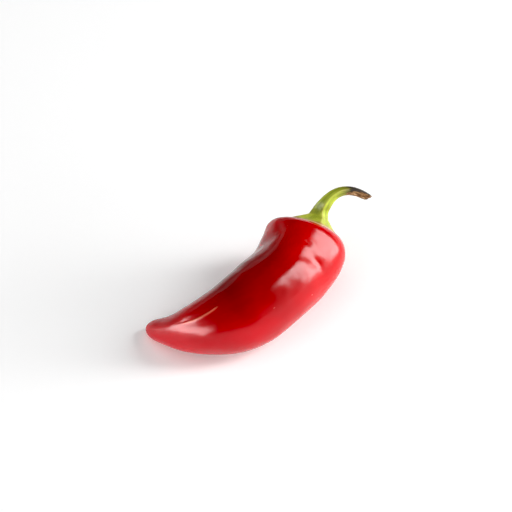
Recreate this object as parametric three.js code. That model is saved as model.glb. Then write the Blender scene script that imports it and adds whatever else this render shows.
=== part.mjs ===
// A red chilli pepper, as picked, lying on its side on a flat surface. It has one plump, curved pod.
// The green calyx sits on the pod's crown, and the stem grows out of it: flared and five-ribbed at
// its foot, bent over, and ending in a dry, slanting tear.
//
// Units are millimetres and +Z is up. The origin is on the surface, under the middle of the chilli's
// box. The pod's tip points to -X, the stem's end to +X, and the pod's hollow side faces +Y.
//
// A place on the chilli is given by how far along a bent centre line it lies, by its distance from
// that line, and by its turn round the line: 0 is on top and 90 degrees is the +Y side.
import * as THREE from 'three';
import { mergeVertices } from 'three/addons/utils/BufferGeometryUtils.js';

// The pod's centre line, from the tip to the crown.
const TIP = new THREE.Vector3(-46, 13.5, 1);
const TIP_HANDLE = new THREE.Vector3(-34.5, -25, 21.8);
const CROWN_HANDLE = new THREE.Vector3(7, 0, 8.1);
const CROWN = new THREE.Vector3(21, 10.5, 19.5);

// The pod's outline, turned round that line.
const POD_RADIUS = 14.7; // at the shoulder, where it is thickest
const TIP_ROUNDING = 1.3; // radius of the rounded point
const TIP_REACH = 9; // how far the rounding makes the tip fuller
const BELLY_CURVE = 2.6; // how soon the pod thickens behind the tip
const BELLY_FULLNESS = 0.89; // 1 would be fullest
const SHOULDER_HEIGHT = 8.8; // from the thickest ring up to the crown
const SHOULDER_SQUARENESS = 2.3; // 2 would be a plain ellipse
const DIMPLE_DEPTH = 1.2; // the hollow that the calyx sits in
const DIMPLE_REACH = 6;

// Swellings and dents of the skin: how far along, the turn in degrees, the height, and their
// length and width.
const SWELLINGS = [
  { along: 12, turn: 0, height: -2.4, length: 9, width: 60 },
  { along: 38, turn: -135, height: 1.8, length: 14, width: 40 },
  { along: 64, turn: 48, height: -2.2, length: 10, width: 35 },
  { along: 72, turn: -120, height: 1.6, length: 14, width: 40 },
];

// The calyx: a thin cap pressed onto the crown, with a short point for each rib of the stem.
const CALYX_GAP = 0.35; // from the pod's skin
const CALYX_RADIUS = 8.6;
const CALYX_POINT = 1.4; // how far each point stands out
const CALYX_EDGE = 0.8; // thickness at the rim
const CALYX_MIDDLE = 1.3; // thickness round the stem
const RIM_BULGE = 1.02; // share by which the rim's middle stands out
const RIBS = 5;

// The stem. Its foot is a little off the middle of the calyx.
const FOOT_SHIFT = 1.7;
const FOOT_TURN = THREE.MathUtils.degToRad(-104);
const STEM_RISE = 4; // how far it keeps the crown's direction
const STEM_HANDLE = new THREE.Vector3(31.5, 13.5, 37.5);
const STEM_END = new THREE.Vector3(46.5, 10.1, 20.1);
const FLARE_RADIUS = 5.6; // where it spreads into the calyx
const FLARE_REACH = 6.4;
const STEM_RADIUS = 1.35; // where it is thinnest
const END_SWELLING = 0.2; // of the dry end
const RIB_HEIGHT = 0.18; // share of the stem's radius
const RIB_MIDDLE = 0.4; // where a rib's side crosses the stem's plain radius

// The tear is a hollow slope that enters the stem on one side and splits it in half at the end.
const TEAR_LENGTH = 12;
const TEAR_TURN = THREE.MathUtils.degToRad(-128); // the side that the tear faces
const TEAR_START = 1.2; // distance of the slope from the middle where it enters, in radii
const TEAR_END = -0.05; // and at the stem's end
const TEAR_HOLLOW = 0.5; // 1 would make the slope flat

// How finely the surfaces are cut.
const POD_SIDES = 40;
const BODY_RINGS = 36;
const CROWN_RINGS = 12;
const CALYX_SIDES = 40;
const CALYX_RINGS = 4;
const STEM_RINGS = 24;
const END_LEVEL = 2.04; // puts the stem's last point just past its last ring

const UP = new THREE.Vector3(0, 0, 1);
const podLine = new THREE.CubicBezierCurve3(TIP, TIP_HANDLE, CROWN_HANDLE, CROWN);
const podLength = podLine.getLength();
const shoulderAlong = podLength - SHOULDER_HEIGHT;

// A bell curve, 1 in the middle.
function bell(distance, reach) {
  return Math.exp(-((distance / reach) ** 2));
}

// The point at a distance and a turn from a line. Past its end, the line runs straight on.
function placeOnLine(line, along, radius, turn) {
  const length = line.getLength();
  const share = THREE.MathUtils.clamp(along / length, 0, 1);
  const tangent = line.getTangentAt(share);
  const side = UP.clone().cross(tangent).normalize();
  const top = tangent.clone().cross(side);
  return line
    .getPointAt(share)
    .addScaledVector(tangent, along - share * length)
    .addScaledVector(top, radius * Math.cos(turn))
    .addScaledVector(side, radius * Math.sin(turn));
}

const stemFoot = placeOnLine(podLine, podLength, FOOT_SHIFT, FOOT_TURN);
const stemStart = stemFoot.clone().addScaledVector(podLine.getTangentAt(1), STEM_RISE);
const stemLine = new THREE.CubicBezierCurve3(stemFoot, stemStart, STEM_HANDLE, STEM_END);
const stemLength = stemLine.getLength();

// The pod's radius at a place between the tip and the shoulder.
function podRadius(along) {
  const share = Math.min(along / shoulderAlong, 1);
  const body = POD_RADIUS * (1 - (1 - share) ** BELLY_CURVE) ** BELLY_FULLNESS;
  const tip = Math.sqrt(2 * TIP_ROUNDING * along) * bell(along, TIP_REACH);
  return Math.hypot(body, tip);
}

// How far along the crown's skin lies at a distance from the centre line.
function crownAlong(radius) {
  const share = Math.min(radius / POD_RADIUS, 1);
  const dome = (1 - share ** SHOULDER_SQUARENESS) ** (1 / SHOULDER_SQUARENESS);
  const hollow = DIMPLE_DEPTH * bell(radius, DIMPLE_REACH);
  return shoulderAlong + (SHOULDER_HEIGHT + DIMPLE_DEPTH) * dome - hollow;
}

// By how much the skin's swellings and dents stretch the radius.
function swell(along, turn) {
  let height = 0;
  for (const swelling of SWELLINGS) {
    const degrees = THREE.MathUtils.radToDeg(turn) - swelling.turn;
    const away = THREE.MathUtils.euclideanModulo(degrees + 180, 360) - 180;
    const lengthwise = bell(along - swelling.along, swelling.length);
    height += swelling.height * lengthwise * bell(away, swelling.width);
  }
  return 1 + height / POD_RADIUS;
}

// Turns an outline of (distance, level) points into a closed skin, and puts each vertex where the
// shape says.
function turnOutline(outline, sides, shape) {
  const geometry = new THREE.LatheGeometry(outline, sides);
  geometry.deleteAttribute('normal');
  geometry.deleteAttribute('uv');
  const position = geometry.getAttribute('position');
  for (let i = 0; i < position.count; i++) {
    const radius = Math.hypot(position.getX(i), position.getZ(i));
    const turn = Math.atan2(position.getZ(i), position.getX(i));
    const point = shape(radius, position.getY(i), turn);
    position.setXYZ(i, point.x, point.y, point.z);
  }
  const skin = mergeVertices(geometry, 1e-3);
  skin.computeVertexNormals();
  return skin;
}

function makePod() {
  const outline = [];
  for (let ring = 0; ring < BODY_RINGS; ring++) {
    const along = shoulderAlong * (ring / BODY_RINGS) ** 1.5;
    outline.push(new THREE.Vector2(podRadius(along), along));
  }
  for (let ring = 0; ring < CROWN_RINGS; ring++) {
    const radius = POD_RADIUS * Math.cos((Math.PI / 2) * (ring / CROWN_RINGS));
    outline.push(new THREE.Vector2(radius, crownAlong(radius)));
  }
  outline.push(new THREE.Vector2(0, crownAlong(0)));

  return turnOutline(outline, POD_SIDES, (radius, along, turn) => {
    const point = placeOnLine(podLine, along, radius * swell(along, turn), turn);
    // The surface that the chilli lies on presses small flat spots into its belly and tip.
    point.z = Math.max(point.z, 0);
    return point;
  });
}

// The stem's radius at a height above the calyx, without its ribs.
function stemRadius(height) {
  const flare = (FLARE_RADIUS - STEM_RADIUS) * Math.exp(-height / FLARE_REACH);
  return STEM_RADIUS + flare + END_SWELLING * bell(stemLength - height, TEAR_LENGTH);
}

// Tears the stem's end off: what lies beyond the tear's slope is pushed back onto it.
function tearOff(height, radius, turn) {
  const share = Math.max(0, 1 - (stemLength - height) / TEAR_LENGTH);
  const depth = THREE.MathUtils.lerp(TEAR_START, TEAR_END, share ** TEAR_HOLLOW);
  const slope = stemRadius(height) * depth;
  const across = radius * Math.sin(turn - TEAR_TURN);
  const outward = Math.min(radius * Math.cos(turn - TEAR_TURN), slope);
  return { radius: Math.hypot(outward, across), turn: TEAR_TURN + Math.atan2(across, outward) };
}

function makeCalyxAndStem() {
  const flareTop = crownAlong(FLARE_RADIUS) + CALYX_GAP + CALYX_MIDDLE - podLength;
  const toFoot = stemFoot.clone().sub(CROWN);

  // Level 0 is the calyx's underside and 1 its top. The level then counts up the stem, to 2.
  const outline = [];
  for (let ring = 0; ring <= CALYX_RINGS; ring++) {
    outline.push(new THREE.Vector2(CALYX_RADIUS * (ring / CALYX_RINGS), 0));
  }
  outline.push(new THREE.Vector2(CALYX_RADIUS * RIM_BULGE, 0.5));
  for (let ring = CALYX_RINGS; ring >= 0; ring--) {
    const radius = THREE.MathUtils.lerp(FLARE_RADIUS, CALYX_RADIUS, ring / CALYX_RINGS);
    outline.push(new THREE.Vector2(radius, 1));
  }
  for (let ring = 1; ring <= STEM_RINGS; ring++) {
    const share = (ring / STEM_RINGS) ** 1.2;
    outline.push(new THREE.Vector2(stemRadius(share * stemLength), 1 + share));
  }
  outline.push(new THREE.Vector2(0, END_LEVEL));

  return turnOutline(outline, CALYX_SIDES, (radius, level, turn) => {
    const wave = 0.5 - 0.5 * Math.cos(RIBS * turn);
    const ribbed = radius * (1 + RIB_HEIGHT * (wave ** 2 - RIB_MIDDLE));
    if (level > 1) {
      const height = THREE.MathUtils.lerp(flareTop, stemLength, level - 1);
      const torn = tearOff(height, ribbed, turn);
      return placeOnLine(stemLine, height, torn.radius, torn.turn);
    }
    const outward = THREE.MathUtils.smoothstep(radius, FLARE_RADIUS, CALYX_RADIUS);
    const pointed = radius + CALYX_POINT * outward * wave ** 4;
    const thickness = THREE.MathUtils.lerp(CALYX_MIDDLE, CALYX_EDGE, outward);
    const along = crownAlong(pointed) + CALYX_GAP + level * thickness;
    const reach = THREE.MathUtils.lerp(pointed, ribbed, level * (1 - outward));
    const place = placeOnLine(podLine, along, reach * swell(along, turn), turn);
    return place.addScaledVector(toFoot, level * (1 - outward));
  });
}

function material(colour, roughness) {
  return new THREE.MeshStandardMaterial({ color: colour, roughness, metalness: 0 });
}

const pod = new THREE.Mesh(makePod(), material('#b8060c', 0.22));
pod.name = 'pod';

const calyxAndStem = new THREE.Mesh(makeCalyxAndStem(), material('#7c8c22', 0.5));
calyxAndStem.name = 'calyx_and_stem';

const chilli = new THREE.Group();
chilli.add(pod, calyxAndStem);

export default chilli;
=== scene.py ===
import math

import bpy
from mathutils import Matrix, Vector


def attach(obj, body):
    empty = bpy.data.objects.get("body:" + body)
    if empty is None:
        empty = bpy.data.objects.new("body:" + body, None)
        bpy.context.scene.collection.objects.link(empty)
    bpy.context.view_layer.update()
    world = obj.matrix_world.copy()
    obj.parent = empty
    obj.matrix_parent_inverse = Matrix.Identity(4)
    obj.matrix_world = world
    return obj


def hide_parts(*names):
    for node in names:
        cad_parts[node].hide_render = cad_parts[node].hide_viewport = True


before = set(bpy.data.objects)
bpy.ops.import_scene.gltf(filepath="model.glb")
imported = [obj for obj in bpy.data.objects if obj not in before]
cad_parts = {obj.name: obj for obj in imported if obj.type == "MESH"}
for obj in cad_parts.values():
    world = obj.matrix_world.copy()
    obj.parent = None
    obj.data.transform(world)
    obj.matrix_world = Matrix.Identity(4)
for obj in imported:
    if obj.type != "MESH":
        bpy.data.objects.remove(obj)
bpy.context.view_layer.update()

MM = 0.001
FULL_TURN = 2 * math.pi
ORIGIN = Vector((0, 0, 0))
UP = Vector((0, 0, 1))


def millimetres(x, y, z):
    return Vector((x, y, z)) * MM


# The pod's centre line, from the tip to the crown.
TIP = millimetres(-46, 13.5, 1)
TIP_HANDLE = millimetres(-34.5, -25, 21.8)
CROWN_HANDLE = millimetres(7, 0, 8.1)
CROWN = millimetres(21, 10.5, 19.5)
POD_LENGTH = 84.7 * MM

# The pod's outline, turned round that line.
POD_RADIUS = 14.7 * MM
TIP_ROUNDING = 1.3 * MM
TIP_REACH = 9 * MM
BELLY_CURVE = 2.6
BELLY_FULLNESS = 0.89
SHOULDER_HEIGHT = 8.8 * MM
SHOULDER_SQUARENESS = 2.3
DIMPLE_DEPTH = 1.2 * MM
DIMPLE_REACH = 6 * MM

# The share of the pod's rings that lie on its body, and how they crowd towards the tip.
BODY_SHARE = 0.8
TIP_CROWDING = 1.5

# Swellings and dents of the skin, in millimetres and degrees: how far along, the turn, the
# height, and their length and width.
SWELLINGS = [
    (12, 0, -2.4, 9, 60),
    (38, -135, 1.8, 14, 40),
    (64, 48, -2.2, 10, 35),
    (72, -120, 1.6, 14, 40),
    (65.5, -52, -0.5, 3, 22),
    (69.5, -26, -0.2, 1.3, 9),
    (66.3, -55, -0.12, 0.8, 7),
    (74.5, -82, 1.1, 8, 28),
    (74.5, -40, -0.45, 5, 16),
]

# The skin's fine relief. Its streaks run along the pod. It fades out close to the centre line.
LUMP_SIZE = 17 * MM
SMALL_LUMP_SIZE = 6 * MM
STREAK_SIZE = 2.2 * MM
STREAK_SHARE = 0.12
RELIEF_START = 3 * MM
RELIEF_FULL = 10 * MM

# A raised fold of the skin that starts beside the tip and turns up the pod's side.
FOLD_START = 17 * MM
FOLD_LENGTH = 15 * MM
FOLD_TURN = math.radians(-33)
FOLD_BEND = math.radians(20)
FOLD_CURVE = 1.6
FOLD_HEIGHT = 0.24 * MM
FOLD_REACH = 0.45 * MM
FOLD_FULL = 0.4
FOLD_FADING = 0.85

# The calyx: a thin cap on the crown. Its rim has a point for each rib, and is sunk into the skin.
CALYX_RADIUS = 8.6 * MM
CALYX_POINT = 1.4 * MM
POINT_SHARPNESS = 4
CALYX_GAP = 0.35 * MM
CALYX_HOLLOW = 2.2
CALYX_BUMP_SIZE = 1.4 * MM
RIM_GAP = -0.3 * MM
RIM_BULGE = 0.02
RIM_CIRCLE = 4 * MM
RIM_WAVE_SIZE = 1.6 * MM

# The stem's line. Its foot stands a little off the middle of the calyx.
FOOT_RADIUS = 3.7 * MM
FOOT_THICKNESS = 3.2 * MM
FOOT_SHIFT = 1.7 * MM
FOOT_TURN = math.radians(-104)
FOOT_BLEND = 6 * MM
STEM_RISE = 4 * MM
STEM_HANDLE = millimetres(31.5, 13.5, 37.5)
STEM_END = millimetres(46.5, 10.1, 20.1)

# The stem's outline. Its ribs have sharp edges, and are flatter past its neck.
STEM_RADIUS = 1.35 * MM
FLARE_RADIUS = 5.6 * MM
FLARE_REACH = 6.4 * MM
END_SWELLING = 0.2 * MM
RIBS = 5
RIB_HEIGHT = 0.18
RIB_MIDDLE = 0.4
RIB_TURN = math.radians(36)
RIB_ROUNDING = 0.006
NECK_RIBS = 0.4
NECK_START = 0.2
NECK_END = 0.6
STRIPE_CIRCLE = 2 * MM
STRIPE_SIZE = 0.7 * MM
STRIPE_SHARE = 0.1

# The tear: a hollow, fibrous slope at the stem's end. Its depths are shares of the stem's radius.
TEAR_LENGTH = 13.5 * MM
TEAR_TURN = math.radians(-112)
TEAR_START = 1.2
TEAR_END = -0.05
TEAR_HOLLOW = 0.5
TORN_DEPTH = 0.1 * MM
FIBRE_SIZE = 0.35 * MM
FIBRE_SHARES = (1, 0.3, 0.09)
END_MIDDLE = -0.5
RAGGED_SIZE = 0.55 * MM
RAGGED_LEVEL = 0.6
RAGGED_START = 0.88

# The skin beside the tear has dried, up to an uneven edge.
DRY_EDGE_SIZE = 1.2 * MM
DRY_EDGE_SHARE = 0.5
DRY_EDGE_WAVES = 0.4
DRY_START = 0.04
DRY_FULL = 0.2

# Where the calyx's and stem's stretches end on the way from the first ring to the last.
UNDERSIDE_END = 0.1
EDGE_END = 0.16
CALYX_END = 0.3
STEM_STRETCH_END = 0.97

# How finely a centre line is cut, how close the points are that a seam or pole joins, and the
# least X, Y and Z that a place can have: far outside the pod, and on the floor.
LINE_STEPS = 400
SEAM_WIDTH = 0.0005 * MM
LOWEST_PLACE = (-1, -1, 0)

# The named inputs of the two Geometry Nodes trees.
SKIN_SIZES = {
    "Tip": TIP,
    "Tip handle": TIP_HANDLE,
    "Crown handle": CROWN_HANDLE,
    "Crown": CROWN,
    "Radius": POD_RADIUS,
    "Shoulder height": SHOULDER_HEIGHT,
    "Dimple depth": DIMPLE_DEPTH,
    "Lumps": 0.5 * MM,
    "Small lumps": 0.18 * MM,
    "Streaks": 0.05 * MM,
}
POD_SIZES = {
    **SKIN_SIZES,
    "Tip rounding": TIP_ROUNDING,
    "Rings": 380,
    "Sides": 250,
}
STEM_SIZES = {
    **SKIN_SIZES,
    "Calyx radius": CALYX_RADIUS,
    "Calyx point": CALYX_POINT,
    "Rim thickness": 0.6 * MM,
    "Rim waves": 1.1 * MM,
    "Veins": 0.5 * MM,
    "Calyx bumps": 0.3 * MM,
    "Foot radius": FOOT_RADIUS,
    "Foot thickness": FOOT_THICKNESS,
    "Flare radius": FLARE_RADIUS,
    "Stem radius": STEM_RADIUS,
    "Stem rise": STEM_RISE,
    "Stem handle": STEM_HANDLE,
    "Stem end": STEM_END,
    "Stem streaks": 0.16 * MM,
    "Torn fibres": 0.8 * MM,
    "Ragged end": 2.2 * MM,
    "Rings": 420,
    "Sides": 200,
}

# The pod's reds, from the tip to the crown, with painted light and shade: darker mid-back, lighter
# lower side.
SHADED_BACK_REDS = [
    (0, (0.62, 0.008, 0.014)),
    (0.24, (0.55, 0.006, 0.009)),
    (0.42, (0.28, 0.0006, 0.001)),
    (0.65, (0.3, 0.0003, 0.001)),
    (0.82, (0.46, 0.0006, 0.001)),
    (1, (0.55, 0.002, 0.008)),
]
LIT_SIDE_REDS = [
    (0, (0.58, 0.005, 0.015)),
    (0.3, (0.5, 0.002, 0.008)),
    (0.6, (0.46, 0.002, 0.006)),
    (0.85, (0.62, 0.004, 0.006)),
    (1, (0.6, 0.004, 0.008)),
]
# The turns of the lower side, which is painted lighter as painted light.
LIT_LOWER_SIDE = (math.radians(30), math.radians(90))
DEEPER_RED = Vector((0.8, 0.3, 0.6))
DEEPER_PATCHES = (0.35, 0.7)
RED_PATCH_SIZE = 14 * MM
# A painted highlight in pale orange-red along the fold's crest.
FOLD_HIGHLIGHT_RED = (0.85, 0.2, 0.12, 1)
FOLD_HIGHLIGHT_STRENGTH = 0.7

# Small corky marks, a little longer than wide. They show on some patches of the skin only.
MARK_RED = (0.8, 0.16, 0.1, 1)
MARK_STRENGTH = 0.3
MARK_SPACING = 4 * MM
MARK_SHARE = 0.6
MARK_EDGE = (0.03, 0.08)
MARK_BUMP = 4
MARKED_PATCHES = (0.5, 0.6)
MARKED_PATCH_SIZE = 9 * MM

# The pod's waxy surface.
SKIN_ROUGHNESS = 0.19
PATCH_ROUGHNESS = 0.07
MARK_ROUGHNESS = 0.2
SKIN_SHINE = 0.34
GRAIN_SIZE = 0.9 * MM
GRAIN_HEIGHT = 0.015 * MM

# The stem's greens, from its foot to its end. They are darker in stripes and patches, and the
# valleys between the ribs hold painted shade.
STEM_GREENS = [
    (0, (0.43, 0.47, 0.05)),
    (0.12, (0.49, 0.58, 0.055)),
    (0.36, (0.43, 0.49, 0.045)),
    (0.52, (0.19, 0.18, 0.02)),
    (0.72, (0.12, 0.11, 0.014)),
    (1, (0.1, 0.09, 0.012)),
]
DARKER_GREEN = Vector((0.5, 0.55, 0.5))
DARKER_STRIPES = (0.4, 0.65)
SHADED_VALLEYS = (0.3, 0)
DARKER_PATCHES = (0.5, 0.75)
STRIPE_STRENGTH = 0.45
VALLEY_SHADE_STRENGTH = 0.4
PATCH_STRENGTH = 0.5
GREEN_PATCH_SIZE = 3 * MM
# A painted highlight: pale ochre along the ribs' sharp crests.
RIB_HIGHLIGHT_OCHRE = (0.5, 0.4, 0.14, 1)
RIB_HIGHLIGHT_CREST = (0.8, 0.9)
RIB_HIGHLIGHT_STRENGTH = 0.4

# The calyx's tan and cork, which keep to an uneven line beside its rim.
CALYX_TAN = (0.34, 0.19, 0.06, 1)
TAN_EDGE = (0.8, 1.1)
TAN_WAVES = 0.4
RIM_CORK = (0.6, 0.42, 0.28, 1)
CORK_EDGE = (1, 1.08)
CORK_WAVES = 0.2

# The dry skin beside the tear, and the fibres in it.
DRY_BLACK = (0.004, 0.002, 0.001, 1)
DRY_BROWN = (0.035, 0.02, 0.01, 1)
TORN_BROWNS = [
    (0.3, (0.02, 0.009, 0.004)),
    (0.45, (0.16, 0.07, 0.025)),
    (0.6, (0.4, 0.24, 0.1)),
    (0.75, (0.72, 0.55, 0.34)),
]
STRAND_SIZE = 0.5 * MM
STRAND_SHARE = 0.2

# The stem's satin surface, which is rougher where it is torn or dry.
STEM_ROUGHNESS = 0.4
GREEN_PATCH_ROUGHNESS = 0.1
TORN_ROUGHNESS = 0.35
DRY_SHARE = 0.6
STEM_SHINE = 0.3
STEM_GRAIN_HEIGHT = 0.06 * MM

# The floor.
FLOOR_WHITE = (0.9, 0.9, 0.9, 1)
FLOOR_GLOW = 0.22
FLOOR_ROUGHNESS = 0.9
FLOOR_REACH = 3

# The camera, as in the photograph.
CAMERA_AIM = millimetres(6.6, 24.2, 0)
CAMERA_AZIMUTH = math.radians(-32.5)
CAMERA_ELEVATION = math.radians(45)
CAMERA_DISTANCE = 0.7
FIELD_WIDTH = 0.18944
SENSOR_WIDTH = 36
BLACK_LEVEL = 0.012

# The soft boxes and the walls.
LIGHT_DISTANCE = 1.5
WALL_BRIGHTNESS = 0.25
WALL_HEIGHT = 0.17
WALL_START = -0.6
WALL_FULL = 0.2


class Wire:
    """One socket of a node tree. An expression on it adds Math or Vector Math nodes."""

    def __init__(self, tree, socket):
        self.tree = tree
        self.socket = socket

    def maths(self, operation, *others):
        inputs = dict(enumerate((self, *others)))
        return self.tree.node("ShaderNodeMath", {"operation": operation}, inputs)

    def vector_maths(self, operation, *others):
        inputs = dict(enumerate((self, *others)))
        output = "Value" if operation == "DOT_PRODUCT" else "Vector"
        return self.tree.node("ShaderNodeVectorMath", {"operation": operation}, inputs, output)

    def combine(self, operation, first, second):
        """Joins two terms, each a number, a vector or a wire, by the node that suits them."""
        vectors = [term for term in (first, second) if is_vector(term)]
        if operation in ("MULTIPLY", "DIVIDE") and len(vectors) == 1:
            number = first if second is vectors[0] else second
            number = 1 / number if operation == "DIVIDE" else number
            inputs = {"Vector": vectors[0], "Scale": number}
            return self.tree.node("ShaderNodeVectorMath", {"operation": "SCALE"}, inputs)
        kind = "ShaderNodeVectorMath" if vectors else "ShaderNodeMath"
        return self.tree.node(kind, {"operation": operation}, {0: first, 1: second})

    def __add__(self, other):
        return self.combine("ADD", self, other)

    def __radd__(self, other):
        return self.combine("ADD", other, self)

    def __sub__(self, other):
        return self.combine("SUBTRACT", self, other)

    def __rsub__(self, other):
        return self.combine("SUBTRACT", other, self)

    def __mul__(self, other):
        return self.combine("MULTIPLY", self, other)

    def __rmul__(self, other):
        return self.combine("MULTIPLY", other, self)

    def __truediv__(self, other):
        return self.combine("DIVIDE", self, other)

    def __rtruediv__(self, other):
        return self.combine("DIVIDE", other, self)

    def __pow__(self, other):
        return self.combine("POWER", self, other)


def is_vector(term):
    """Whether a number, a vector or a wire stands for a vector or a colour."""
    if isinstance(term, Wire):
        return term.socket.type in ("VECTOR", "RGBA")
    return isinstance(term, Vector)


class Tree:
    """A node tree. node() adds any node and gives back its outputs as wires."""

    def __init__(self, tree):
        self.tree = tree

    def node(self, kind, settings, inputs, *outputs):
        node = self.tree.nodes.new(kind)
        for name, value in settings.items():
            if name == "stops":
                set_stops(node.color_ramp, value)
            else:
                setattr(node, name, value)
        for name, value in inputs.items():
            if isinstance(value, Wire):
                self.tree.links.new(value.socket, node.inputs[name])
            else:
                node.inputs[name].default_value = value
        wires = [Wire(self, node.outputs[name]) for name in outputs or (0,) if node.outputs]
        return wires[0] if len(wires) == 1 else wires


def set_stops(ramp, stops):
    while len(ramp.elements) < len(stops):
        ramp.elements.new(1)
    for element, (place, colour) in zip(ramp.elements, stops):
        element.position = place
        element.color = (*colour, 1)


def clamp(value, low=0, high=1):
    return value.maths("MAXIMUM", low).maths("MINIMUM", high)


def stretch(share, start, end):
    """Runs from 0 to 1 between a start and an end."""
    return clamp((share - start) / (end - start))


def smooth_step(value, start, end):
    """As stretch, but easing in and out."""
    share = stretch(value, start, end)
    return share * share * (3 - 2 * share)


def bell(distance, reach):
    """A bell curve, 1 in the middle."""
    return ((distance / reach) ** 2 * -1).maths("EXPONENT")


def between(first, second, share):
    return first + (second - first) * share


def unbent(tree, radius, along, turn):
    """A place of the chilli as a vector, before its centre line is bent."""
    inputs = {"X": radius * turn.maths("COSINE"), "Y": radius * turn.maths("SINE"), "Z": along}
    return tree.node("ShaderNodeCombineXYZ", {}, inputs)


def parts(tree, vector):
    return tree.node("ShaderNodeSeparateXYZ", {}, {"Vector": vector}, "X", "Y", "Z")


def drawn_out(straight, share):
    """Cuts lengths along the chilli to a share, which draws noise on them out that way."""
    return straight * Vector((1, 1, share))


def noise(tree, vector, size, detail=2.0):
    """Noise from 0 to 1, with lumps about as large as size."""
    inputs = {"Vector": vector, "Scale": 1 / size, "Detail": detail, "Roughness": 0.5}
    return tree.node("ShaderNodeTexNoise", {}, inputs)


def uneven(tree, vector, size, detail):
    """Noise that goes a half either way."""
    return noise(tree, vector, size, detail) - 0.5


SOCKETS = {float: "NodeSocketFloat", int: "NodeSocketInt", Vector: "NodeSocketVector"}


def shape_tree(name, sizes):
    """A Geometry Nodes tree with an input for each size, and those inputs as wires."""
    group = bpy.data.node_groups.new(name, "GeometryNodeTree")
    group.interface.new_socket("Geometry", in_out="OUTPUT", socket_type="NodeSocketGeometry")
    for label, value in sizes.items():
        group.interface.new_socket(label, in_out="INPUT", socket_type=SOCKETS[type(value)])
    tree = Tree(group)
    wires = tree.node("NodeGroupInput", {}, {}, *sizes)
    return tree, dict(zip(sizes, wires))


def link(thing):
    bpy.context.scene.collection.objects.link(thing)


def make_shape(name, tree, sizes):
    """Runs a Geometry Nodes tree with its inputs set to the sizes, and gives a plain mesh."""
    maker = bpy.data.objects.new(name + "_maker", bpy.data.meshes.new(name + "_maker"))
    link(maker)
    modifier = maker.modifiers.new("shape", "NODES")
    modifier.node_group = tree.tree
    for item in tree.tree.interface.items_tree:
        if item.in_out == "INPUT":
            modifier[item.identifier] = sizes[item.name]
    depsgraph = bpy.context.evaluated_depsgraph_get()
    mesh = bpy.data.meshes.new_from_object(maker.evaluated_get(depsgraph))
    bpy.data.objects.remove(maker)
    mesh.name = name
    piece = bpy.data.objects.new(name, mesh)
    link(piece)
    return piece


def curve(tree, *points):
    """A curve through a start and an end point, bent by the two handles between them."""
    names = ("Start", "Start Handle", "End Handle", "End")
    inputs = {"Resolution": LINE_STEPS, **dict(zip(names, points))}
    return tree.node("GeometryNodeCurvePrimitiveBezierSegment", {"mode": "POSITION"}, inputs)


def line_length(tree, line):
    return tree.node("GeometryNodeCurveLength", {}, {"Curve": line})


def pod_line(tree, size):
    """The pod's centre line, and how far along it the crown's middle and the shoulder lie."""
    line = curve(tree, size["Tip"], size["Tip handle"], size["Crown handle"], size["Crown"])
    length = line_length(tree, line)
    return line, length, length - size["Shoulder height"]


def side_and_top(tree, tangent):
    """The directions square to a line: level towards its +Y side, and up."""
    inputs = {0: UP, 1: tangent}
    level = tree.node("ShaderNodeVectorMath", {"operation": "CROSS_PRODUCT"}, inputs)
    side = level.vector_maths("NORMALIZE")
    return side, tangent.vector_maths("CROSS_PRODUCT", side)


def place_on_line(tree, line, along, radius, turn):
    """The point at a distance and a turn from a line. Past its end, the line runs straight on."""
    within = clamp(along, 0, line_length(tree, line))
    settings = {"mode": "LENGTH"}
    inputs = {"Curves": line, "Length": within}
    sample = tree.node("GeometryNodeSampleCurve", settings, inputs, "Position", "Tangent")
    position, tangent = sample
    side, top = side_and_top(tree, tangent)
    on_line = position + tangent * (along - within)
    return on_line + top * (radius * turn.maths("COSINE")) + side * (radius * turn.maths("SINE"))


def skin_grid(tree, size):
    """A grid, with the share from its first ring to its last, and the turn of each point."""
    rings, sides = size["Rings"], size["Sides"]
    inputs = {"Size X": 1, "Size Y": 1, "Vertices X": rings, "Vertices Y": sides + 1}
    mesh = tree.node("GeometryNodeMeshGrid", {}, inputs, "Mesh")
    lengthwise, sideways, _ = parts(tree, tree.node("GeometryNodeInputPosition", {}, {}))
    return mesh, lengthwise + 0.5, sideways * FULL_TURN


def finish_skin(tree, mesh, position, material, **stored):
    """Stores what the material reads, moves the grid's points, and closes its seam and poles."""
    for name, value in stored.items():
        kind = "FLOAT_VECTOR" if is_vector(value) else "FLOAT"
        inputs = {"Geometry": mesh, "Name": name, "Value": value}
        settings = {"data_type": kind, "domain": "POINT"}
        mesh = tree.node("GeometryNodeStoreNamedAttribute", settings, inputs)
    for kind, inputs in (
        ("GeometryNodeSetPosition", {"Position": position}),
        ("GeometryNodeMergeByDistance", {"Distance": SEAM_WIDTH}),
        ("GeometryNodeSetShadeSmooth", {}),
        ("GeometryNodeRealizeInstances", {}),
        ("GeometryNodeSetMaterial", {"Material": material}),
    ):
        mesh = tree.node(kind, {}, {"Geometry": mesh, **inputs})
    tree.node("NodeGroupOutput", {}, {"Geometry": mesh})


def crown_along(radius, size, shoulder_along):
    """How far along the crown's skin lies at a distance from the centre line."""
    share = clamp(radius / size["Radius"])
    dome = (1 - share ** SHOULDER_SQUARENESS) ** (1 / SHOULDER_SQUARENESS)
    height = size["Shoulder height"] + size["Dimple depth"]
    return shoulder_along + height * dome - size["Dimple depth"] * bell(radius, DIMPLE_REACH)


def swell(along, turn):
    """By how much the skin's swellings and dents stretch the radius."""
    share = 1
    for at, degrees, height, length, width in SWELLINGS:
        away = (turn - math.radians(degrees)).maths("WRAP", -math.pi, math.pi)
        lengthwise = bell(along - at * MM, length * MM)
        sideways = bell(away, math.radians(width))
        share = share + height * MM / POD_RADIUS * lengthwise * sideways
    return share


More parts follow.
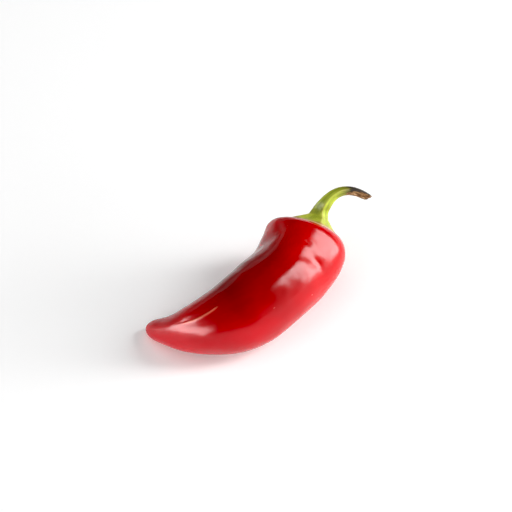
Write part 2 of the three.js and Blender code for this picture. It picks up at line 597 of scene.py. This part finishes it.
def skin_relief(tree, straight, radius, size):
    """The height of the skin's lumps and of its fine streaks."""
    lumps = uneven(tree, straight, LUMP_SIZE, 1) * size["Lumps"]
    small = uneven(tree, straight, SMALL_LUMP_SIZE, 1) * size["Small lumps"]
    streaks = uneven(tree, drawn_out(straight, STREAK_SHARE), STREAK_SIZE, 2) * size["Streaks"]
    return (lumps + small + streaks) * 2 * smooth_step(radius, RELIEF_START, RELIEF_FULL)


def fold(along, radius, turn):
    """1 on the crest of the fold."""
    share = stretch(along, FOLD_START, FOLD_START + FOLD_LENGTH)
    across = radius * (turn - FOLD_TURN - FOLD_BEND * share ** FOLD_CURVE)
    fade = smooth_step(share, 0, FOLD_FULL) * (1 - smooth_step(share, FOLD_FADING, 1))
    return fade * bell(across, FOLD_REACH)


def pod_outline(size, share, shoulder_along):
    """How far along the pod's line each ring of its skin lies, and its radius."""
    # From the tip to the shoulder.
    body_share = stretch(share, 0, BODY_SHARE) ** TIP_CROWDING
    body_along = shoulder_along * body_share
    body = size["Radius"] * (1 - (1 - body_share) ** BELLY_CURVE) ** BELLY_FULLNESS
    tip = (2 * size["Tip rounding"] * body_along).maths("SQRT") * bell(body_along, TIP_REACH)
    body_radius = (body * body + tip * tip).maths("SQRT")

    # From the shoulder over the crown to its middle.
    crown_share = stretch(share, BODY_SHARE, 1)
    crown_radius = size["Radius"] * (crown_share * (math.pi / 2)).maths("COSINE")
    on_crown = share.maths("GREATER_THAN", BODY_SHARE)
    along = between(body_along, crown_along(crown_radius, size, shoulder_along), on_crown)
    return along, between(body_radius, crown_radius, on_crown)


def make_pod(material):
    tree, size = shape_tree("Pod", POD_SIZES)
    line, _, shoulder_along = pod_line(tree, size)
    mesh, share, turn = skin_grid(tree, size)
    along, radius = pod_outline(size, share, shoulder_along)
    straight = unbent(tree, radius, along, turn)
    crest = fold(along, radius, turn)
    relief = skin_relief(tree, straight, radius, size) + FOLD_HEIGHT * crest
    swollen = radius * swell(along, turn) + relief
    position = place_on_line(tree, line, along, swollen, turn)

    # The belly and the tip are flat where they rest on the floor.
    inputs = {0: position, 1: LOWEST_PLACE}
    flat = tree.node("ShaderNodeVectorMath", {"operation": "MAXIMUM"}, inputs)
    finish_skin(tree, mesh, flat, material, straight=straight, fold=crest)
    return make_shape("pod_skin", tree, POD_SIZES)


def rib_edge(turn):
    """1 on the sharp edge of each rib, 0 in the middle between two ribs."""
    beside = ((turn - RIB_TURN) * (RIBS / 2)).maths("SINE")
    return 1 - (beside * beside + RIB_ROUNDING) ** 0.5


def calyx_skin(tree, line, shoulder_along, size, share, turn, to_foot):
    """Out along the calyx's underside, round its rim, and back along its top to the stem."""
    under = stretch(share, 0, UNDERSIDE_END)
    level = stretch(share, UNDERSIDE_END, EDGE_END)
    back = stretch(share, EDGE_END, CALYX_END)
    edge = rib_edge(turn)

    # The rim waves in and out, and stands out in a point for each rib.
    waves = uneven(tree, unbent(tree, RIM_CIRCLE, 0, turn), RIM_WAVE_SIZE, 2)
    rim = size["Calyx radius"] + waves * size["Rim waves"]
    foot = size["Foot radius"]
    bulge = RIM_BULGE * (level * math.pi).maths("SINE")
    radius = rim * (under + bulge) - (rim - foot) * back
    outward = smooth_step(radius, foot, rim)
    point = (0.5 - 0.5 * (turn * RIBS).maths("COSINE")) ** POINT_SHARPNESS
    pointed = radius + size["Calyx point"] * outward * point

    # The underside is pressed onto the skin. Veins run from the ribs out to the points.
    skin_along = crown_along(pointed, size, shoulder_along)
    skin_place = unbent(tree, pointed, skin_along, turn)
    relief = skin_relief(tree, skin_place, pointed, size)
    gap = between(CALYX_GAP, RIM_GAP, outward)
    bumps = uneven(tree, skin_place, CALYX_BUMP_SIZE, 2) * size["Calyx bumps"]
    veins = size["Veins"] * edge * edge
    height = between(size["Rim thickness"], size["Foot thickness"], back ** CALYX_HOLLOW)
    height = height + (bumps + veins) * (back * math.pi).maths("SINE")
    along = skin_along + gap + level * height
    ribbed = radius * (1 + RIB_HEIGHT * (edge - RIB_MIDDLE))
    inward = level * (1 - outward)
    reach = between(pointed * swell(along, turn) + relief, ribbed, inward)
    position = place_on_line(tree, line, along, reach, turn) + to_foot * inward
    return position, unbent(tree, pointed, level * MM, turn), 1 - back


def stem_outline(tree, size, height, left, climb, turn):
    """The stem's radius where a length of it is left: plain, and with its ribs and streaks."""
    flare = (height / -FLARE_REACH).maths("EXPONENT")
    radius = size["Stem radius"] + (size["Flare radius"] - size["Stem radius"]) * flare
    radius = radius + END_SWELLING * bell(left, TEAR_LENGTH)
    ribs = RIB_HEIGHT * between(1, NECK_RIBS, smooth_step(climb, NECK_START, NECK_END))
    ribbed = radius * (1 + ribs * (rib_edge(turn) - RIB_MIDDLE))
    stripe_place = unbent(tree, STRIPE_CIRCLE, height * STRIPE_SHARE, turn)
    return radius, ribbed + uneven(tree, stripe_place, STRIPE_SIZE, 3) * size["Stem streaks"]


def tear(tree, size, radius, whole, height, turn, torn_share, close):
    """The radius and the turn of each place of the stem once torn, and how torn it is."""
    # What lies beyond the tear's fibrous slope is pushed back onto it.
    beside = turn - TEAR_TURN
    across = whole * beside.maths("SINE")
    facing = whole * beside.maths("COSINE")
    inputs = {"X": across, "Y": facing, "Z": height}
    fibre_place = tree.node("ShaderNodeCombineXYZ", {}, inputs) * Vector(FIBRE_SHARES)
    fibres = uneven(tree, fibre_place, FIBRE_SIZE, 2) * size["Torn fibres"]
    slope = radius * between(TEAR_START, TEAR_END, torn_share ** TEAR_HOLLOW)
    kept = facing.maths("MINIMUM", slope + fibres)
    torn = clamp((facing - kept) / TORN_DEPTH).maths("MAXIMUM", close)

    # The end closes over the middle of what is left of the stem.
    kept = between(kept, radius * END_MIDDLE, close)
    across = across * (1 - close)
    torn_turn = TEAR_TURN + across.maths("ARCTAN2", kept)
    return (across * across + kept * kept).maths("SQRT"), torn_turn, torn


def stem_skin(tree, crown_line, crown_middle, line, size, share, turn, to_foot, start):
    """Up the stem and round its torn end. Also gives how torn and how dry each place is."""
    length = line_length(tree, line)
    climb = stretch(share, CALYX_END, STEM_STRETCH_END)
    close = stretch(share, STEM_STRETCH_END, 1)
    height = between(start, length, climb)
    left = length - height
    radius, whole = stem_outline(tree, size, height, left, climb, turn)
    torn_share = clamp(1 - left / TEAR_LENGTH)
    torn_stem = tear(tree, size, radius, whole, height, turn, torn_share, close)
    torn_radius, torn_turn, torn = torn_stem

    # The fibres end at different heights.
    ends = noise(tree, unbent(tree, torn_radius, 0, torn_turn), RAGGED_SIZE, 1) - RAGGED_LEVEL
    ragged = height + size["Ragged end"] * ends * smooth_step(climb, RAGGED_START, 1)
    bent = place_on_line(tree, line, ragged, torn_radius, torn_turn)

    # The foot keeps the crown's direction, so that it meets the calyx without a step.
    upright = place_on_line(tree, crown_line, crown_middle + height, torn_radius, torn_turn)
    blend = smooth_step(height, start, start + FOOT_BLEND)
    position = between(upright + to_foot, bent, blend)

    # The skin beside the tear is dry.
    edge_place = unbent(tree, STRIPE_CIRCLE, height * DRY_EDGE_SHARE, turn)
    waves = uneven(tree, edge_place, DRY_EDGE_SIZE, 2) * DRY_EDGE_WAVES
    dried = smooth_step(torn_share + waves, DRY_START, DRY_FULL)
    return position, unbent(tree, torn_radius, height, turn), climb, torn, dried


def make_calyx_and_stem(material):
    tree, size = shape_tree("Calyx and stem", STEM_SIZES)
    line, crown_middle, shoulder_along = pod_line(tree, size)
    mesh, share, turn = skin_grid(tree, size)

    # The foot is a little off the middle of the calyx, and the stem's line starts there.
    crown = size["Crown"]
    upward = (crown - size["Crown handle"]).vector_maths("NORMALIZE")
    side, top = side_and_top(tree, upward)
    to_foot = top * (FOOT_SHIFT * math.cos(FOOT_TURN)) + side * (FOOT_SHIFT * math.sin(FOOT_TURN))
    foot = crown + to_foot
    stem_start = foot + upward * size["Stem rise"]
    stem_line = curve(tree, foot, stem_start, size["Stem handle"], size["Stem end"])
    foot_along = crown_along(size["Foot radius"], size, shoulder_along) + CALYX_GAP
    foot_top = foot_along + size["Foot thickness"] - crown_middle

    calyx = calyx_skin(tree, line, shoulder_along, size, share, turn, to_foot)
    on_calyx, straight_calyx, rim = calyx
    stem = stem_skin(tree, line, crown_middle, stem_line, size, share, turn, to_foot, foot_top)
    on_stem, straight_stem, climb, torn, dried = stem
    is_stem = share.maths("GREATER_THAN", CALYX_END)
    finish_skin(
        tree,
        mesh,
        between(on_calyx, on_stem, is_stem),
        material,
        straight=between(straight_calyx, straight_stem, is_stem),
        rim=rim * (1 - is_stem),
        climb=climb,
        edge=rib_edge(turn),
        torn=torn * is_stem,
        dried=dried * is_stem,
    )
    return make_shape("calyx_and_stem_skin", tree, STEM_SIZES)


def new_material(name):
    material = bpy.data.materials.new(name)
    material.use_nodes = True
    material.node_tree.nodes.clear()
    return material, Tree(material.node_tree)


def attribute(tree, name, output="Fac"):
    return tree.node("ShaderNodeAttribute", {"attribute_name": name}, {}, output)


def colour_along(tree, stops, share):
    return tree.node("ShaderNodeValToRGB", {"stops": stops}, {"Fac": share})


# A Mix node's colour sockets share their names with its other sockets, so they go by number.
MIX_FACTOR, MIX_FIRST, MIX_SECOND, MIX_RESULT = 0, 6, 7, 2


def colour_mix(tree, factor, first, second):
    inputs = {MIX_FACTOR: factor, MIX_FIRST: first, MIX_SECOND: second}
    return tree.node("ShaderNodeMix", {"data_type": "RGBA"}, inputs, MIX_RESULT)


def bump(tree, height, distance):
    inputs = {"Height": height, "Strength": 1, "Distance": distance}
    return tree.node("ShaderNodeBump", {}, inputs)


def finish_material(tree, inputs):
    shader = tree.node("ShaderNodeBsdfPrincipled", {}, inputs)
    tree.node("ShaderNodeOutputMaterial", {}, {"Surface": shader})


def pod_skin_material():
    material, tree = new_material("pod skin")
    straight = attribute(tree, "straight", "Vector")
    x, y, along = parts(tree, straight)

    # The reds run from the tip to the crown, with painted shade on the back and painted light on
    # the lower side.
    lit_lower_side = smooth_step(y.maths("ARCTAN2", x) * -1, *LIT_LOWER_SIDE)
    share = along / POD_LENGTH
    back = colour_along(tree, SHADED_BACK_REDS, share)
    colour = colour_mix(tree, lit_lower_side, back, colour_along(tree, LIT_SIDE_REDS, share))
    patches = noise(tree, straight, RED_PATCH_SIZE)
    deeper = smooth_step(patches, *DEEPER_PATCHES)
    colour = colour_mix(tree, deeper, colour, colour * DEEPER_RED)

    inputs = {"Vector": drawn_out(straight, MARK_SHARE) / MARK_SPACING, "Scale": 1}
    from_mark = tree.node("ShaderNodeTexVoronoi", {}, inputs, "Distance")
    marked = smooth_step(noise(tree, straight, MARKED_PATCH_SIZE, 0), *MARKED_PATCHES)
    mark = (1 - smooth_step(from_mark, *MARK_EDGE)) * marked
    colour = colour_mix(tree, mark * MARK_STRENGTH, colour, MARK_RED)
    # A painted highlight along the fold's crest.
    crest = attribute(tree, "fold")
    colour = colour_mix(tree, crest * crest * FOLD_HIGHLIGHT_STRENGTH, colour, FOLD_HIGHLIGHT_RED)

    height = noise(tree, straight, GRAIN_SIZE) + mark * MARK_BUMP
    finish_material(
        tree,
        {
            "Base Color": colour,
            "Roughness": SKIN_ROUGHNESS + PATCH_ROUGHNESS * patches + MARK_ROUGHNESS * mark,
            "Specular IOR Level": SKIN_SHINE,
            "Normal": bump(tree, height, GRAIN_HEIGHT),
        },
    )
    return material


def calyx_and_stem_material():
    material, tree = new_material("calyx and stem")
    straight = attribute(tree, "straight", "Vector")
    stripes = noise(tree, drawn_out(straight, STRIPE_SHARE), STRAND_SIZE, 3)
    patches = noise(tree, straight, GREEN_PATCH_SIZE)

    # The green is yellower at the foot, darker up the stem, and striped along it.
    edge = attribute(tree, "edge")
    green = colour_along(tree, STEM_GREENS, attribute(tree, "climb"))
    darker = green * DARKER_GREEN
    striped = smooth_step(stripes, *DARKER_STRIPES) * STRIPE_STRENGTH
    # Painted shade: the valleys between the ribs are painted darker.
    valley_shade = smooth_step(edge, *SHADED_VALLEYS) * VALLEY_SHADE_STRENGTH
    patched = smooth_step(patches, *DARKER_PATCHES) * PATCH_STRENGTH
    # A painted highlight: pale ochre on the ribs' crests.
    crest = smooth_step(edge, *RIB_HIGHLIGHT_CREST) * RIB_HIGHLIGHT_STRENGTH
    colour = colour_mix(tree, clamp(striped + valley_shade), green, darker)
    colour = colour_mix(tree, patched, colour, darker)
    colour = colour_mix(tree, crest, colour, RIB_HIGHLIGHT_OCHRE)

    # The calyx is tan towards its pale, corky rim.
    rim = attribute(tree, "rim")
    tan = smooth_step(rim + patches * TAN_WAVES, *TAN_EDGE)
    cork = smooth_step(rim + patches * CORK_WAVES, *CORK_EDGE)
    colour = colour_mix(tree, tan, colour, CALYX_TAN)
    colour = colour_mix(tree, cork, colour, RIM_CORK)

    # The skin has dried dark beside the tear, whose fibres are brown, tan and cream.
    torn = attribute(tree, "torn")
    dried = attribute(tree, "dried")
    colour = colour_mix(tree, dried, colour, colour_mix(tree, stripes, DRY_BLACK, DRY_BROWN))
    fibres = noise(tree, drawn_out(straight, STRAND_SHARE), STRAND_SIZE, 3)
    colour = colour_mix(tree, torn, colour, colour_along(tree, TORN_BROWNS, fibres))
    rough = GREEN_PATCH_ROUGHNESS * patches
    rough = rough + TORN_ROUGHNESS * torn.maths("MAXIMUM", dried * DRY_SHARE)
    finish_material(
        tree,
        {
            "Base Color": colour,
            "Roughness": STEM_ROUGHNESS + rough,
            "Specular IOR Level": STEM_SHINE,
            "Normal": bump(tree, stripes + patches, STEM_GRAIN_HEIGHT),
        },
    )
    return material


def floor_material():
    material, tree = new_material("floor")
    glow = {"Emission Color": FLOOR_WHITE, "Emission Strength": FLOOR_GLOW}
    finish_material(tree, {"Base Color": FLOOR_WHITE, "Roughness": FLOOR_ROUGHNESS, **glow})
    return material


def add_floor():
    mesh = bpy.data.meshes.new("floor")
    signs = ((-1, -1), (1, -1), (1, 1), (-1, 1))
    corners = [(x * FLOOR_REACH, y * FLOOR_REACH, 0) for x, y in signs]
    mesh.from_pydata(corners, [], [(0, 1, 2, 3)])
    mesh.materials.append(floor_material())
    floor = bpy.data.objects.new("floor", mesh)
    link(floor)
    return floor


def direction(azimuth, elevation):
    """The way back to a viewer who looks from an azimuth, 0 looking along +Y, and an elevation."""
    level = math.cos(elevation)
    return Vector((math.sin(azimuth) * level, -math.cos(azimuth) * level, math.sin(elevation)))


def place_facing(thing, aim, back, distance):
    """Puts a camera or a light at a distance back from what it looks at."""
    thing.location = aim + back * distance
    thing.rotation_euler = (-back).to_track_quat("-Z", "Y").to_euler()
    link(thing)


def add_camera():
    camera = bpy.data.objects.new("camera", bpy.data.cameras.new("camera"))
    camera.data.sensor_width = SENSOR_WIDTH
    camera.data.lens = SENSOR_WIDTH * CAMERA_DISTANCE / FIELD_WIDTH
    back = direction(CAMERA_AZIMUTH, CAMERA_ELEVATION)
    place_facing(camera, CAMERA_AIM, back, CAMERA_DISTANCE)
    bpy.context.scene.camera = camera


def add_soft_box(
    name, azimuth, elevation, width, height, brightness, in_reflections=True, reflected_only=False
):
    """A soft box that spans a width and a height in degrees, as the chilli sees it."""
    light = bpy.data.lights.new(name, "AREA")
    light.shape = "RECTANGLE"
    light.size = 2 * LIGHT_DISTANCE * math.tan(math.radians(width / 2))
    light.size_y = 2 * LIGHT_DISTANCE * math.tan(math.radians(height / 2))
    light.energy = math.pi * light.size * light.size_y * brightness
    lamp = bpy.data.objects.new(name, light)
    lamp.visible_glossy = in_reflections
    lamp.visible_diffuse = not reflected_only
    back = direction(math.radians(azimuth), math.radians(elevation))
    place_facing(lamp, ORIGIN, back, LIGHT_DISTANCE)


def set_exposure():
    """A plain curve with slightly crushed blacks, as in the photograph."""
    view = bpy.context.scene.view_settings
    view.view_transform = "Standard"
    view.use_curve_mapping = True
    view.curve_mapping.black_level = (BLACK_LEVEL, BLACK_LEVEL, BLACK_LEVEL)
    view.curve_mapping.update()


def add_world():
    """A dark studio. Its walls are pale near the floor, but not behind the camera."""
    world = bpy.data.worlds.new("world")
    bpy.context.scene.world = world
    world.use_nodes = True
    world.node_tree.nodes.clear()
    tree = Tree(world.node_tree)
    ray = tree.node("ShaderNodeTexCoord", {}, {}, "Generated")
    _, _, height = parts(tree, ray)
    away = ray.vector_maths("DOT_PRODUCT", -direction(CAMERA_AZIMUTH, 0))
    in_front = smooth_step(away, WALL_START, WALL_FULL)
    brightness = WALL_BRIGHTNESS * bell(height, WALL_HEIGHT) * in_front
    light = tree.node("ShaderNodeBackground", {}, {"Color": (1, 1, 1, 1), "Strength": brightness})
    tree.node("ShaderNodeOutputWorld", {}, {"Surface": light})


set_exposure()
add_camera()
add_world()

# Where each soft box stands and how far it spans, in degrees, and its brightness.
add_soft_box("right window", 62, 26, 19, 51, 13.5)
add_soft_box("left window", -99, 16, 80, 25, 13, reflected_only=True)
add_soft_box("back wall", 175, 21, 50, 14, 0.7, reflected_only=True)
add_soft_box("ceiling", -120, 75, 60, 60, 0.9, in_reflections=False)
add_soft_box("right side", 45, 6, 60, 24, 6, in_reflections=False)
add_soft_box("left side", -75, 6, 60, 24, 6, in_reflections=False)

pod = make_pod(pod_skin_material())
calyx_and_stem = make_calyx_and_stem(calyx_and_stem_material())
for piece, node, slot in (
    (pod, "pod", "pod_skin"),
    (calyx_and_stem, "calyx_and_stem", "calyx_and_stem"),
):
    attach(piece, "root")
    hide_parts(node)
add_floor()
